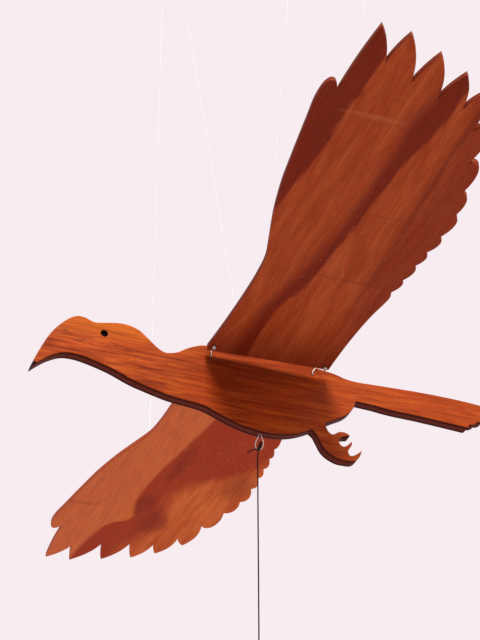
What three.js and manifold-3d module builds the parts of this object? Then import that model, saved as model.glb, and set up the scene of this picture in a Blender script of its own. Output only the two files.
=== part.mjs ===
// A hanging mobile: a flat board bird with two flapping wings.
//
// The bird is cut from one board and hangs head to -X, with its left wing to -Y.
// Each wing is tied to the body at two holes, and hangs on two clear lines that meet
// at one end of a crossbar overhead. A weighted pull cord under the belly sets the
// wings flapping. Millimetres, +Z up. The origin is the inside top of the eye that
// the crossbar hangs by.
//
// The outlines are drawn in the bird's own frame: x along the body from the front of
// the wing root, y from the middle of the board, z up from the underside of the wings.

import * as THREE from 'three';
import { mergeVertices } from 'three/addons/utils/BufferGeometryUtils.js';
import Module from 'manifold-3d';

const wasm = await Module();
wasm.setup();

// ---------------------------------------------------------------- driving dimensions

const BOARD = 9.4; // thickness of the body board
const WING_BOARD = 4.5; // thickness of a wing
const WING_RISE = THREE.MathUtils.degToRad(2.37); // how far the wings rise at rest
const WING_ROOT_Z = 3; // the underside of the wings at the body

const ROOT_SETBACK = 0.96; // from the board's face to where a wing's own v starts
const HINGE_V = 11.4; // the hinge line, out along the wing
const HANG_V = 129.5; // the two holes that carry a wing, out along the wing
const HANG_U = [3.0, 95.2]; // the same two holes, front and rear, along the body

// Each tie goes through a hole in the body and a hole in each wing.
const TIES = {
  front: { bodyX: 5.7, bodyZ: 1.9, wingU: 4.0 },
  rear: { bodyX: 86.3, bodyZ: 2.6, wingU: 91.6 },
};
const TIE_R = 0.35;
const TIE_BODY_HOLE_R = 0.9;
const TIE_WING_HOLE_R = 1.3;
const TIE_KNOT_R = 1.5;
const TIE_KNOT_DROP = 4.1; // from the hinge line down to the middle of the knot
const TIE_LEAN = 0.2; // a tie crosses the wing at the middle of the wing's travel

const LINE_R = 0.25; // the clear suspension lines
const LINE_HOLE_R = 1.5;
const LINE_HOLE_FLOOR = 1.5; // wood left under each of these blind holes
const LINE_KNOT_R = 1.1;
const LINE_KNOT_RISE = 2.9; // from the wing's underside to the middle of the knot
const SEAT_GAP = 0.3; // between pieces that touch

const BAR_R = 4;
const BAR_LENGTH = 434;
const BAR_X = 28.5; // the crossbar, in the bird's frame
const BAR_Z = 666.6;
const BAR_CHAMFER = 0.8;
const APEX_Y = 203; // where a wing's two lines meet
const APEX_Z = 656.7;
const APEX_KNOT_R = 1.3;
const APEX_SPREAD = 0.3; // the two lines enter their knot side by side
const BAR_LOOP_GAP = 0.9;

const EYE_RING_R = 5.3; // to the middle of the eye's wire
const EYE_WIRE_R = 0.9;
const EYE_LIFT = 3.2; // bare shank between bar and ring
const EYE_SINK = 5; // how deep the shank sits in the bar

const BIRD_EYE = { x: -76.8, z: 4.3, r: 2.9 };

// A blind hole drilled up into the belly's edge holds the ends of a clear loop.
const BELLY_SOCKET = { x: 46, floorZ: -48.2, r: 1.3 };
const BELLY_LOOP_R = 0.35;
const BELLY_LOOP = [
  [46, 0, -48.9], [46.55, 0, -50.4], [46.6, 0, -53.5], [47.6, 0.3, -57], [48.9, 0.9, -61],
  [48, 1.9, -64.6], [45.4, 2.35, -66], [42.9, 1.9, -64.2], [42.9, 0.9, -60.8], [44.5, 0.3, -57],
  [45.4, 0, -53.5], [45.45, 0, -50.4],
];
const CORD_X = 44.2; // the pull cord hangs in this line
const CORD_R = 0.55;
const CORD_TOP_Z = -69.3;
const CORD_END_Z = -233;
const CORD_KNOT = { top: [46.9, -60.2], bottom: [44.3, -68.9], r: 1.35 };
const STRAY_END = [[42.6, -67.6], [40.2, -68.4], [38, -69.6], [36.4, -71.2]];

const BEAD_R = 10;
const BEAD_LENGTH = 27;
const BEAD_BORE_R = 1.2;
const BEAD_KNOT_R = 2.1;

const EYE_RING_Z = BAR_Z + BAR_R + EYE_LIFT + EYE_RING_R;
const ORIGIN = new THREE.Vector3(BAR_X, 0, EYE_RING_Z + EYE_RING_R - EYE_WIRE_R);

// ---------------------------------------------------------------- materials

const finish = (color, roughness, metalness = 0) =>
  new THREE.MeshStandardMaterial({ color, roughness, metalness });

const bodyWood = finish('#b4501e', 0.35);
const wingWood = finish('#8f3a1a', 0.35);
const barWood = finish('#9a5a30', 0.45);
const beadWood = finish('#8a3d1c', 0.35);
const clearLine = finish('#e8e0d8', 0.2);
const darkThread = finish('#2a1716', 0.8);
const brass = finish('#b8923f', 0.3, 1);

// ---------------------------------------------------------------- solids and booleans

const bareIndexed = (geometry) => {
  const bare = geometry.index ? geometry.toNonIndexed() : geometry.clone();
  bare.deleteAttribute('normal');
  bare.deleteAttribute('uv');
  return mergeVertices(bare, 1e-4);
};

const toSolid = (geometry) => {
  const merged = bareIndexed(geometry);
  return new wasm.Manifold(
    new wasm.Mesh({
      numProp: 3,
      vertProperties: new Float32Array(merged.attributes.position.array),
      triVerts: new Uint32Array(merged.index.array),
    }),
  );
};

const toGeometry = (manifold) => {
  const { vertProperties, triVerts } = manifold.getMesh();
  const geometry = new THREE.BufferGeometry();
  geometry.setAttribute('position', new THREE.BufferAttribute(new Float32Array(vertProperties), 3));
  geometry.setIndex(new THREE.BufferAttribute(new Uint32Array(triVerts), 1));
  return geometry;
};

const cutAll = (geometry, cutters) =>
  toGeometry(cutters.reduce((left, cutter) => left.subtract(toSolid(cutter)), toSolid(geometry)));

const joinAll = (geometries) =>
  toGeometry(geometries.map(toSolid).reduce((all, next) => all.add(next)));

/** A cylinder of radius r between two points. */
const rod = (from, to, r, sides = 20) => {
  const along = to.clone().sub(from);
  const turn = new THREE.Quaternion().setFromUnitVectors(
    new THREE.Vector3(0, 1, 0),
    along.clone().normalize(),
  );
  const middle = from.clone().addScaledVector(along, 0.5);
  return new THREE.CylinderGeometry(r, r, along.length(), sides)
    .applyQuaternion(turn)
    .translate(middle.x, middle.y, middle.z);
};

/** A round cord along an open curve. */
const cord = (curve, r, steps, sides = 8) => {
  const section = new THREE.Shape().absarc(0, 0, r, 0, 2 * Math.PI);
  const options = { extrudePath: curve, steps, bevelEnabled: false, curveSegments: sides / 2 };
  return bareIndexed(new THREE.ExtrudeGeometry(section, options));
};

/** A round cord along a closed curve; a closed tube has no ends to cap. */
const ring = (points, r, steps, sides = 8) => {
  const curve = new THREE.CatmullRomCurve3(points, true, 'centripetal');
  return bareIndexed(new THREE.TubeGeometry(curve, steps, r, sides, true));
};

/** A knot: an egg with its long axis between two points. */
const egg = (from, to, r) => {
  const along = to.clone().sub(from);
  const middle = from.clone().addScaledVector(along, 0.5);
  const turn = new THREE.Quaternion().setFromUnitVectors(
    new THREE.Vector3(0, 1, 0),
    along.clone().normalize(),
  );
  return bareIndexed(
    new THREE.SphereGeometry(r, 10, 6)
      .scale(1, along.length() / (2 * r), 1)
      .applyQuaternion(turn)
      .translate(middle.x, middle.y, middle.z),
  );
};

const v2 = ([x, y]) => new THREE.Vector2(x, y);
const v3 = (x, y, z) => new THREE.Vector3(x, y, z);

/** Draw each stroke as a smooth curve through its points, with a corner where strokes meet. */
const drawStrokes = (shape, strokes) => {
  for (const stroke of strokes) shape.splineThru(stroke.map(v2));
  return shape;
};

/** A curve from one corner to the next, bowed out to its left; share says where it is fullest. */
const bowTo = (shape, from, to, bow, share = 0.5) => {
  const [dx, dy] = [to[0] - from[0], to[1] - from[1]];
  const push = (2 * bow) / Math.hypot(dx, dy);
  shape.quadraticCurveTo(from[0] + dx * share - dy * push, from[1] + dy * share + dx * push, ...to);
};

/** A fuller curve than bowTo, rounded off near its start. */
const lobeTo = (shape, from, to, bow) => {
  const [dx, dy] = [to[0] - from[0], to[1] - from[1]];
  const push = bow / Math.hypot(dx, dy);
  shape.bezierCurveTo(
    from[0] + 0.12 * dx - 1.5 * push * dy, from[1] + 0.12 * dy + 1.5 * push * dx,
    from[0] + 0.62 * dx - 1.1 * push * dy, from[1] + 0.62 * dy + 1.1 * push * dx,
    ...to,
  );
};

// ---------------------------------------------------------------- the body board

const BEAK_TIP = [-130.3, -35];
const TAIL_NOTCH = [121.3, -13.2];
const TAIL_CORNER = [211.2, -18.2];

// From the beak tip over the head and along the back to the end of the tail.
const BACK = [
  [-129.1, -30.2], [-124.3, -18.3], [-118, -5.3], [-111.5, 4], [-103.9, 11.7], [-97.4, 15.3],
  [-91.4, 15.1], [-84, 12.7], [-75.1, 14.2], [-65.7, 15.9], [-57.5, 15.6], [-50.3, 13.2],
  [-44.3, 8.5], [-38.2, 3.1], [-32.6, -0.9], [-27.4, -1.8], [-20.3, 0.3], [-13.3, 4.9],
  [-6.2, 8.5], [1, 10.8], [20, 11.8], [50, 11.4], [80, 10.4], [102.9, 7.6], [113.5, 4.7],
  [124.3, 3.9], [143.9, 4.6], [174.1, 5.4], [205, 5.1], [235.9, 3],
];

// The feather ends of the tail step forward from the top corner to the lower one.
const TAIL_STEPS = [[233.4, -3.4], [227.6, -7.7], [221.1, -11.7], [213.9, -15.3]];
const TAIL_LOBE = 1.1;

const VENT = [
  [[137, -14], [151.6, -15.4], [173.2, -16], [197.1, -17.3], TAIL_CORNER],
  [[118.4, -20.8], [112.8, -27], [103.4, -32.6], [95.9, -37.2]],
];

// One leg, from the vent round its three talons and back to the belly.
const LEG = [
  [[96.3, -39.2], [98.2, -43.4], [101, -45.6], [103.8, -44.9]],
  [[106.4, -42.8], [109.6, -42.1], [113, -42.4], [115.6, -44.4]],
  [[111, -45.6], [107.6, -47.8], [106.6, -50.6], [108, -53.4], [110.6, -54.4], [113.6, -52.6], [117, -48.7]],
  [[116.9, -52], [115, -55.2], [113.9, -58], [114.6, -60.4], [116.6, -61.2], [120.4, -59.2], [124.8, -55]],
  [[123.6, -59.4], [121, -63.4], [118, -65.6], [113, -66.1], [106.6, -65.8], [99.6, -63], [94.4, -58.6],
    [90.6, -51.6], [88.2, -47.2], [85, -44.6]],
];

const BELLY = [
  [76, -49.2], [65.5, -52.7], [53, -54.1], [41, -53.8], [27, -50.9], [13.5, -46], [3, -41.8],
  [-6, -40.2], [-16.5, -39.2], [-26, -38], [-40, -34.7], [-55, -30.4], [-70.5, -24], [-85.6, -19.7],
  [-97, -17.7], [-107, -18.4], [-116, -22.9], [-123, -28.2], BEAK_TIP,
];

const bodyOutline = () => {
  const shape = new THREE.Shape().moveTo(...BEAK_TIP);
  drawStrokes(shape, [BACK]);
  let from = BACK.at(-1);
  for (const to of [...TAIL_STEPS, TAIL_CORNER]) {
    bowTo(shape, from, to, TAIL_LOBE);
    from = to;
  }
  const [underTail, vent] = VENT;
  drawStrokes(shape, [[...underTail].reverse().slice(1), [TAIL_NOTCH], vent, ...LEG, BELLY]);
  return shape;
};

/** Holes across the board, as rods along Y. */
const crossHole = (x, z, r) => rod(v3(x, -BOARD, z), v3(x, BOARD, z), r, 24);

const bodyBoard = () => {
  const options = { depth: BOARD, bevelEnabled: false, curveSegments: 2 };
  const board = new THREE.ExtrudeGeometry(bodyOutline(), options)
    .rotateX(Math.PI / 2)
    .translate(0, BOARD / 2, 0);
  return cutAll(board, [
    crossHole(BIRD_EYE.x, BIRD_EYE.z, BIRD_EYE.r),
    rod(v3(BELLY_SOCKET.x, 0, BELLY_SOCKET.floorZ), v3(BELLY_SOCKET.x, 0, -60), BELLY_SOCKET.r, 16),
    ...Object.values(TIES).map(({ bodyX, bodyZ }) => crossHole(bodyX, bodyZ, TIE_BODY_HOLE_R)),
  ]);
};

// ---------------------------------------------------------------- the wings

// A wing is drawn flat: u along the body, v out from it.

const WING_FRONT = [
  [0.6, 12], [2.1, 34], [3.3, 60], [3.9, 84], [3.8, 104], [2.4, 124], [-2.5, 144], [-10.5, 175],
  [-16.3, 205], [-19.3, 228], [-22.1, 252], [-24.8, 276], [-26.8, 294], [-26.4, 308], [-24, 314.4], [-21, 315],
  [-18.2, 311.6], [-16.2, 307.3],
];

// Each long feather: its tip, the notch behind it, and how far its back edge bows.
const PRIMARIES = [
  { tip: [-12.6, 373.2], notch: [2.4, 342.8], bow: 2.0 },
  { tip: [8.2, 371.6], notch: [25.5, 329.3], bow: 3.0 },
  { tip: [33.3, 360.3], notch: [47.9, 321], bow: 3.0 },
  { tip: [56.6, 348.1], notch: [67.3, 315.2], bow: 2.6 },
  { tip: [73.6, 332.4], notch: [82.9, 297.5], bow: 3.4 },
  { tip: [90.4, 308.6], notch: [93.6, 265.4], bow: 4.2 },
];
const FRONT_BOW = 1.0; // how far a long feather's front edge bows

const FIRST_LOBE = [[94.6, 267.6], [98, 268.7], [102, 265.9], [104.5, 258], [104.8, 247], [103.2, 236.2]];

// Each short feather ends in a round lobe at the trailing edge, with a notch after it.
const LOBES = [
  { notch: [108.6, 211.5], bow: 4.9 },
  { notch: [108.6, 185.7], bow: 4.7 },
  { notch: [106.5, 165.9], bow: 4.2 },
  { notch: [105.3, 149.1], bow: 3.6 },
  { notch: [103.8, 130.3], bow: 3.4 },
  { notch: [102, 114.9], bow: 2.8 },
];

const WING_REAR = [
  [103.6, 108.8], [102.7, 100], [100.3, 86], [98.2, 68], [96.7, 46], [96, 24], [95.8, 7.8],
];
const ROOT_FRONT = [0.2, 6.8];
const ROOT_CORNER = [2.2, 4.4];

const wingOutline = () => {
  const shape = new THREE.Shape().moveTo(...ROOT_CORNER);
  shape.quadraticCurveTo(ROOT_FRONT[0], ROOT_CORNER[1], ...ROOT_FRONT);
  drawStrokes(shape, [WING_FRONT]);
  let from = WING_FRONT.at(-1);
  for (const { tip, notch, bow } of PRIMARIES) {
    bowTo(shape, from, tip, FRONT_BOW);
    bowTo(shape, tip, notch, bow, 0.45);
    from = notch;
  }
  drawStrokes(shape, [FIRST_LOBE]);
  from = FIRST_LOBE.at(-1);
  for (const { notch, bow } of LOBES) {
    lobeTo(shape, from, notch, bow);
    from = notch;
  }
  drawStrokes(shape, [WING_REAR]);
  shape.lineTo(...ROOT_CORNER);
  return shape;
};

/** side is -1 for the left wing, at -Y, and +1 for the right one. */
const wingPoint = (side, u, v, rise = 0) =>
  v3(
    u,
    side * (BOARD / 2 + ROOT_SETBACK + v * Math.cos(WING_RISE) - rise * Math.sin(WING_RISE)),
    WING_ROOT_Z + v * Math.sin(WING_RISE) + rise * Math.cos(WING_RISE),
  );

const wingHole = (u, v, r, floor = -WING_BOARD) => rod(v3(u, v, floor), v3(u, v, 2 * WING_BOARD), r, 20);

const wing = (side) => {
  const options = { depth: WING_BOARD, bevelEnabled: false, curveSegments: 6 };
  const flat = cutAll(new THREE.ExtrudeGeometry(wingOutline(), options), [
    ...Object.values(TIES).map(({ wingU }) => wingHole(wingU, HINGE_V, TIE_WING_HOLE_R)),
    ...HANG_U.map((u) => wingHole(u, HANG_V, LINE_HOLE_R, LINE_HOLE_FLOOR)),
  ]);
  const position = flat.attributes.position;
  for (let i = 0; i < position.count; i += 1) {
    const placed = wingPoint(side, position.getX(i), position.getY(i), position.getZ(i));
    position.setXYZ(i, placed.x, placed.y, placed.z);
  }
  if (side < 0) {
    const triangles = flat.index.array;
    for (let i = 0; i < triangles.length; i += 3) {
      [triangles[i + 1], triangles[i + 2]] = [triangles[i + 2], triangles[i + 1]];
    }
  }
  return flat;
};

// ---------------------------------------------------------------- ties and lines

const hingeLine = (side, u) => wingPoint(side, u, HINGE_V, WING_BOARD / 2);

/** One clear tie: through the body, up past each wing's root, over it and down its hole. */
const hingeTie = ({ bodyX, bodyZ, wingU }) => {
  const face = BOARD / 2;
  const { y: holeY, z: holeZ } = hingeLine(1, wingU);
  const overZ = holeZ + WING_BOARD / 2 + 2.5;
  const midX = (bodyX + wingU) / 2;
  const side = (s) => [
    v3(bodyX, s * face * 0.5, bodyZ),
    v3(bodyX, s * (face + 0.15), bodyZ),
    v3(bodyX, s * (face + 0.95), bodyZ + 0.8),
    v3(bodyX, s * (face + 1.15), bodyZ + 2.6),
    v3(midX, s * (face + 1.6), overZ - 1.6),
    v3(midX, s * (face + 3.2), overZ - 0.2),
    v3(wingU, s * (holeY - 3.2), overZ),
    v3(wingU, s * (holeY - 1.2), overZ - 0.55),
    v3(wingU, s * (holeY - TIE_LEAN), holeZ + WING_BOARD / 2),
    v3(wingU, s * (holeY + TIE_LEAN), holeZ - TIE_KNOT_DROP + TIE_KNOT_R + SEAT_GAP),
  ];
  const curve = new THREE.CatmullRomCurve3([...side(-1).reverse(), ...side(1)], false, 'centripetal');
  return cord(curve, TIE_R, 40);
};

const tieKnot = (side, { wingU }) => {
  const { y, z } = hingeLine(side, wingU);
  const centre = v3(wingU, y + side * TIE_LEAN, z - TIE_KNOT_DROP);
  const up = v3(0, 0, TIE_KNOT_R);
  return egg(centre.clone().sub(up), centre.clone().add(up), TIE_KNOT_R);
};

/** A teardrop of line round the bar, down to the knot where two lines meet. */
const barLoop = (side) => {
  const loopR = BAR_R + BAR_LOOP_GAP + LINE_R;
  const turns = [-55, -20, 15, 50, 90, 130, 165, 200, 235].map((angle) => {
    const a = THREE.MathUtils.degToRad(angle);
    return v3(BAR_X + loopR * Math.cos(a), side * APEX_Y, BAR_Z + loopR * Math.sin(a));
  });
  const low = v3(BAR_X, side * APEX_Y, APEX_Z + APEX_KNOT_R + LINE_R + SEAT_GAP);
  return ring([...turns, low], LINE_R, 24);
};

const apex = (side) => v3(BAR_X, side * APEX_Y, APEX_Z);

const apexKnot = (side) =>
  egg(apex(side).add(v3(0, 0, APEX_KNOT_R)), apex(side).sub(v3(0, 0, APEX_KNOT_R)), APEX_KNOT_R);

/** The middle of a line's knot, glued into a blind hole in the wing's upper face. */
const hangPoint = (side, u) => wingPoint(side, u, HANG_V, LINE_KNOT_RISE);
const lineDirection = (side, u) => apex(side).sub(hangPoint(side, u)).normalize();

const lineKnot = (side, u) => {
  const centre = hangPoint(side, u);
  const up = lineDirection(side, u).multiplyScalar(LINE_KNOT_R);
  return egg(centre.clone().sub(up), centre.clone().add(up), LINE_KNOT_R);
};

const suspensionLine = (side, u) => {
  const along = lineDirection(side, u);
  const from = hangPoint(side, u).addScaledVector(along, LINE_KNOT_R + SEAT_GAP);
  const spread = v3(Math.sign(u - BAR_X) * APEX_SPREAD, 0, 0);
  const to = apex(side).addScaledVector(along, -APEX_KNOT_R - SEAT_GAP).add(spread);
  return cord(new THREE.LineCurve3(from, to), LINE_R, 1);
};

// ---------------------------------------------------------------- crossbar and eye

const crossbar = () => {
  const profile = [
    [0, -BAR_LENGTH / 2], [BAR_R - BAR_CHAMFER, -BAR_LENGTH / 2],
    [BAR_R, -BAR_LENGTH / 2 + BAR_CHAMFER], [BAR_R, BAR_LENGTH / 2 - BAR_CHAMFER],
    [BAR_R - BAR_CHAMFER, BAR_LENGTH / 2], [0, BAR_LENGTH / 2],
  ].map(v2);
  const dowel = new THREE.LatheGeometry(profile, 28).translate(BAR_X, 0, BAR_Z);
  const socket = rod(
    v3(BAR_X, 0, BAR_Z + BAR_R - EYE_SINK - SEAT_GAP),
    v3(BAR_X, 0, BAR_Z + 2 * BAR_R),
    EYE_WIRE_R + SEAT_GAP,
    16,
  );
  return cutAll(dowel, [socket]);
};

const hangingEye = () => {
  const hoop = new THREE.TorusGeometry(EYE_RING_R, EYE_WIRE_R, 8, 24)
    .rotateX(Math.PI / 2)
    .translate(BAR_X, 0, EYE_RING_Z);
  const shank = rod(
    v3(BAR_X, 0, BAR_Z + BAR_R - EYE_SINK),
    v3(BAR_X, 0, EYE_RING_Z - EYE_RING_R),
    EYE_WIRE_R,
    12,
  );
  return joinAll([hoop, shank]);
};

// ---------------------------------------------------------------- pull cord

/** A clear loop out of the belly's edge; the pull cord is knotted round it. */
const bellyLoop = () => ring(BELLY_LOOP.map((point) => v3(...point)), BELLY_LOOP_R, 28);

const cordKnot = () => {
  const [topX, topZ] = CORD_KNOT.top;
  const [lowX, lowZ] = CORD_KNOT.bottom;
  return egg(v3(topX, 0, topZ), v3(lowX, 0, lowZ), CORD_KNOT.r);
};

const pullCord = () => {
  const curve = new THREE.CatmullRomCurve3([
    v3(CORD_X, 0, CORD_TOP_Z),
    v3(CORD_X - 0.15, 0, CORD_TOP_Z - 3),
    v3(CORD_X - 0.25, 0, CORD_TOP_Z - 12),
    v3(CORD_X - 0.2, 0, CORD_TOP_Z - 40),
    v3(CORD_X - 0.1, 0, CORD_TOP_Z - 90),
    v3(CORD_X, 0, CORD_END_Z),
  ]);
  return cord(curve, CORD_R, 16);
};

const strayEnd = () => {
  const points = STRAY_END.map(([x, z], i) => v3(x, 0.4 * i, z));
  return cord(new THREE.CatmullRomCurve3(points), CORD_R, 6);
};

const beadTop = CORD_END_Z + 1.5;

const pullBead = () => {
  const profile = [[BEAD_BORE_R, 0]];
  const steps = 10;
  for (let i = 0; i <= steps; i += 1) {
    const a = (i / steps) * Math.PI;
    const swell = Math.sin(a) * (1 - 0.18 * Math.cos(a));
    profile.push([BEAD_BORE_R + 0.9 + (BEAD_R - BEAD_BORE_R - 0.9) * swell, (BEAD_LENGTH / 2) * (1 - Math.cos(a))]);
  }
  profile.push([BEAD_BORE_R, BEAD_LENGTH], [BEAD_BORE_R, 0]);
  return bareIndexed(
    new THREE.LatheGeometry(profile.map(v2), 20)
      .rotateX(Math.PI / 2)
      .translate(CORD_X, 0, beadTop - BEAD_LENGTH),
  );
};

// ---------------------------------------------------------------- the mobile

const mobile = new THREE.Group();
mobile.position.copy(ORIGIN).negate();

const addPiece = (name, geometry, material) => {
  const mesh = new THREE.Mesh(geometry, material);
  mesh.name = name;
  mobile.add(mesh);
};

addPiece('hanging_eye', hangingEye(), brass);
addPiece('crossbar', crossbar(), barWood);
addPiece('bird_body', bodyBoard(), bodyWood);
for (const [end, tie] of Object.entries(TIES)) {
  addPiece(`hinge_tie_${end}`, hingeTie(tie), clearLine);
  addPiece(`tie_knot_left_${end}`, tieKnot(-1, tie), clearLine);
  addPiece(`tie_knot_right_${end}`, tieKnot(1, tie), clearLine);
}

for (const [hand, side] of [['left', -1], ['right', 1]]) {
  addPiece(`wing_${hand}`, wing(side), wingWood);
  addPiece(`bar_loop_${hand}`, barLoop(side), clearLine);
  addPiece(`apex_knot_${hand}`, apexKnot(side), clearLine);
  for (const [end, u] of [['front', HANG_U[0]], ['rear', HANG_U[1]]]) {
    addPiece(`line_${hand}_${end}`, suspensionLine(side, u), clearLine);
    addPiece(`line_knot_${hand}_${end}`, lineKnot(side, u), clearLine);
  }
}

addPiece('belly_loop', bellyLoop(), clearLine);
addPiece('cord_knot', cordKnot(), darkThread);
addPiece('cord_stray_end', strayEnd(), darkThread);
addPiece('pull_cord', pullCord(), darkThread);
addPiece('pull_bead', pullBead(), beadWood);
addPiece(
  'bead_knot',
  egg(
    v3(CORD_X, 0, beadTop - BEAD_LENGTH - SEAT_GAP),
    v3(CORD_X, 0, beadTop - BEAD_LENGTH - SEAT_GAP - 2 * BEAD_KNOT_R),
    BEAD_KNOT_R,
  ),
  darkThread,
);

export default mobile;
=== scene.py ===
import math

import bmesh
import bpy
from mathutils import Matrix, Vector
from mathutils.geometry import tessellate_polygon


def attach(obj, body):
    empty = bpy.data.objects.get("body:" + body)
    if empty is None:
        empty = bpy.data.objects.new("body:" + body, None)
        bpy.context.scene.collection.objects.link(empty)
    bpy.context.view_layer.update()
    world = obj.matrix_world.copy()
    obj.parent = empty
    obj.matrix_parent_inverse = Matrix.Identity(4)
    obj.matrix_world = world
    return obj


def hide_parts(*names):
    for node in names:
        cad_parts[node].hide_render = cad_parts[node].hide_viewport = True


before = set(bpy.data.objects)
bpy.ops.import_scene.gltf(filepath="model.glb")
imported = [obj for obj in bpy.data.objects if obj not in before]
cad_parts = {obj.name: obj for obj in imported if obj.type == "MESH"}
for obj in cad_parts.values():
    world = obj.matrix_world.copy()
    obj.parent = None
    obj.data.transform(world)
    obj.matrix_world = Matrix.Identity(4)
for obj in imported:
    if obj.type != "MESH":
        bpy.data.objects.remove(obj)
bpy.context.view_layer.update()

# Measurements are in millimetres, in the bird's own frame: x along the body toward its tail,
# y from the middle of the board toward the right wing, z up. On a wing, u runs like x and v
# runs outward from the root. metres() puts a point of the bird's frame in the row frame.

BAR_X = 28.5
EYE_TOP_Z = 683.5  # the inside top of the hanging eye
BOARD = 9.4  # thickness of the body
WING_BOARD = 4.5  # thickness of a wing
BOARD_ROUNDING = 0.7
WING_ROUNDING = 0.6
WING_RISE = math.radians(2.37)
WING_ROOT_Z = 3.0  # the underside of the wings at the body
ROOT_SETBACK = 0.96  # the gap between the body and a wing
BIRD_EYE = (-76.8, 4.3)
BIRD_EYE_R = 2.9
HINGE_V = 11.4
TIES = {"front": (5.7, 1.9, 4.0), "rear": (86.3, 2.6, 91.6)}  # x and z in the body, u in a wing
TIE_BODY_HOLE_R = 0.9
TIE_WING_HOLE_R = 1.3
TIE_R = 0.33
TIE_LEAN = 0.2
TIE_BOW = 2.5  # how far a tie stands above the wing
TIE_KNOT_R = 1.45
TIE_KNOT_DROP = 4.1  # from the middle of the wing's thickness
HANG_V = 129.5
HANG_U = {"front": 3.0, "rear": 95.2}
LINE_HOLE_R = 1.5
LINE_HOLE_FLOOR = 1.5
LINE_KNOT_RISE = 2.9
LINE_R = 0.25
LINE_END_IN_SEAT = 0.5  # from the middle of the knot to the line's end inside it
LINE_END_IN_APEX = 0.6
SEAT_KNOT_R = 1.05
APEX_Y = 203.0
APEX_Z = 656.7
APEX_SPREAD = 0.3  # keeps the two lines of a pair apart where they meet
APEX_KNOT_R = 1.28
BAR_Z = 666.6
BAR_R = 4.0
BAR_LENGTH = 434.0
BAR_ROUNDING = 1
BAR_LOOP_GAP = 0.9
BAR_LOOP_FOOT = 1.1  # from the meeting knot's middle to the loop's lowest point
EYE_R = 5.3
EYE_WIRE_R = 0.88
EYE_NECK = 3.2  # from the top of the bar to the foot of the eye's ring
CORD_X = 44.2
PLIES = 3
PLY_PITCH = 3.4
BEAD_TOP = -231.5
BEAD_LENGTH = 27
BEAD_BORE_R = 1.2
BEAD_GROOVES = (0.95, 1.1, 2.2)  # turned rings, as angles down the bead's outline
BEAD_KNOT_R = 2.1
SIDES = {"left": -1, "right": 1}
UP = Vector((0, 0, 1))

# In the row frame, in metres:
BIRD_PLACE = Vector((0, 0, -0.68))
FLOOR_Z = -2.4
FLOOR_REACH = 60


def metres(x, y, z):
    return Vector(((x - BAR_X) / 1000, y / 1000, (z - EYE_TOP_Z) / 1000))


def on_wing(side, u, v, rise=0.0):
    """A point of a wing, rise above its underside, in the bird's frame."""
    out = BOARD / 2 + ROOT_SETBACK + v * math.cos(WING_RISE) - rise * math.sin(WING_RISE)
    up = WING_ROOT_Z + v * math.sin(WING_RISE) + rise * math.cos(WING_RISE)
    return Vector((u, side * out, up))


def add_object(name, data):
    made = bpy.data.objects.new(name, data)
    bpy.context.scene.collection.objects.link(made)
    return made


def add_node(tree, kind, inputs=(), **settings):
    """A new node. Each of its inputs takes a value or is joined to an output."""
    made = tree.nodes.new(kind)
    for key, value in settings.items():
        setattr(made, key, value)
    pairs = inputs.items() if isinstance(inputs, dict) else enumerate(inputs)
    for socket, value in pairs:
        if isinstance(value, bpy.types.NodeSocket):
            tree.links.new(value, made.inputs[socket])
        else:
            made.inputs[socket].default_value = value
    return made


# ---------------------------------------------------------------- camera

camera = add_object("camera", bpy.data.cameras.new("camera"))
bpy.context.scene.camera = camera
camera.data.sensor_fit = "HORIZONTAL"
camera.data.sensor_width = 36
camera.data.lens = 180
camera.data.clip_end = 200
right = Vector((0.9408, -0.3391, -0.0006)).normalized()
ahead = Vector((0.285, 0.7896, 0.5435)).normalized()
above = right.cross(ahead).normalized()
right = ahead.cross(above)
camera.matrix_world = Matrix.Translation(
    metres(-485.3, -1423.9 - BOARD / 2, -941.1)
) @ Matrix((right, above, -ahead)).transposed().to_4x4()


# ---------------------------------------------------------------- materials

def rgb(red, green, blue):
    """A display colour, 0 to 255, as the linear colour a shader takes."""
    return tuple(((c / 255 + 0.055) / 1.055) ** 2.4 for c in (red, green, blue)) + (1,)


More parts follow.
